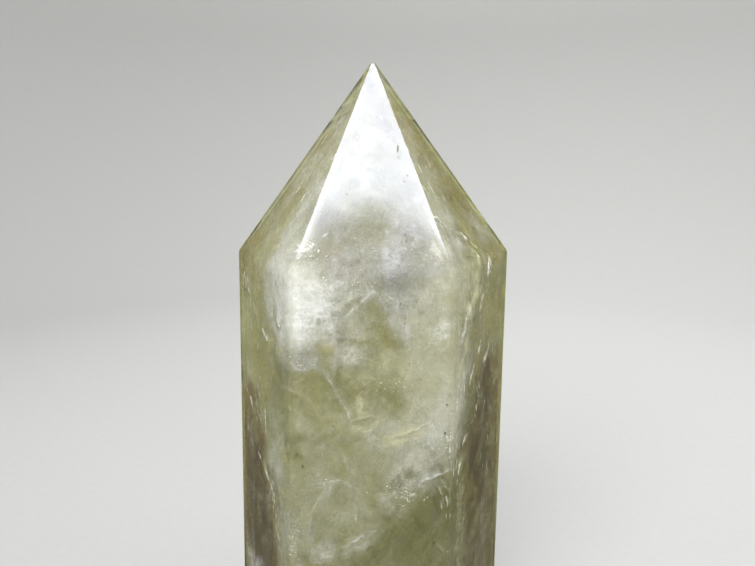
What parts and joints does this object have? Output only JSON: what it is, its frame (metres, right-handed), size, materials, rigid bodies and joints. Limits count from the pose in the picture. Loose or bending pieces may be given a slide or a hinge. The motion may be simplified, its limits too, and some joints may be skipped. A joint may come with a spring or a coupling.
{
  "type": "citrine crystal point",
  "caption": "Polished citrine point: one piece of cloudy yellow-green quartz, six-sided under a six-sided tip, flat across the foot so it stands.",
  "frame": {"origin": "middle of the flat foot", "axes": "+Z along the crystal towards its tip, front side facing -Y"},
  "size_m": [0.0542, 0.0458, 0.1243],
  "materials": {
    "citrine": "high polish, cloudy inside"
  },
  "bodies": {
    "root": {"crystal_point": "citrine"}
  },
  "joints": []
}
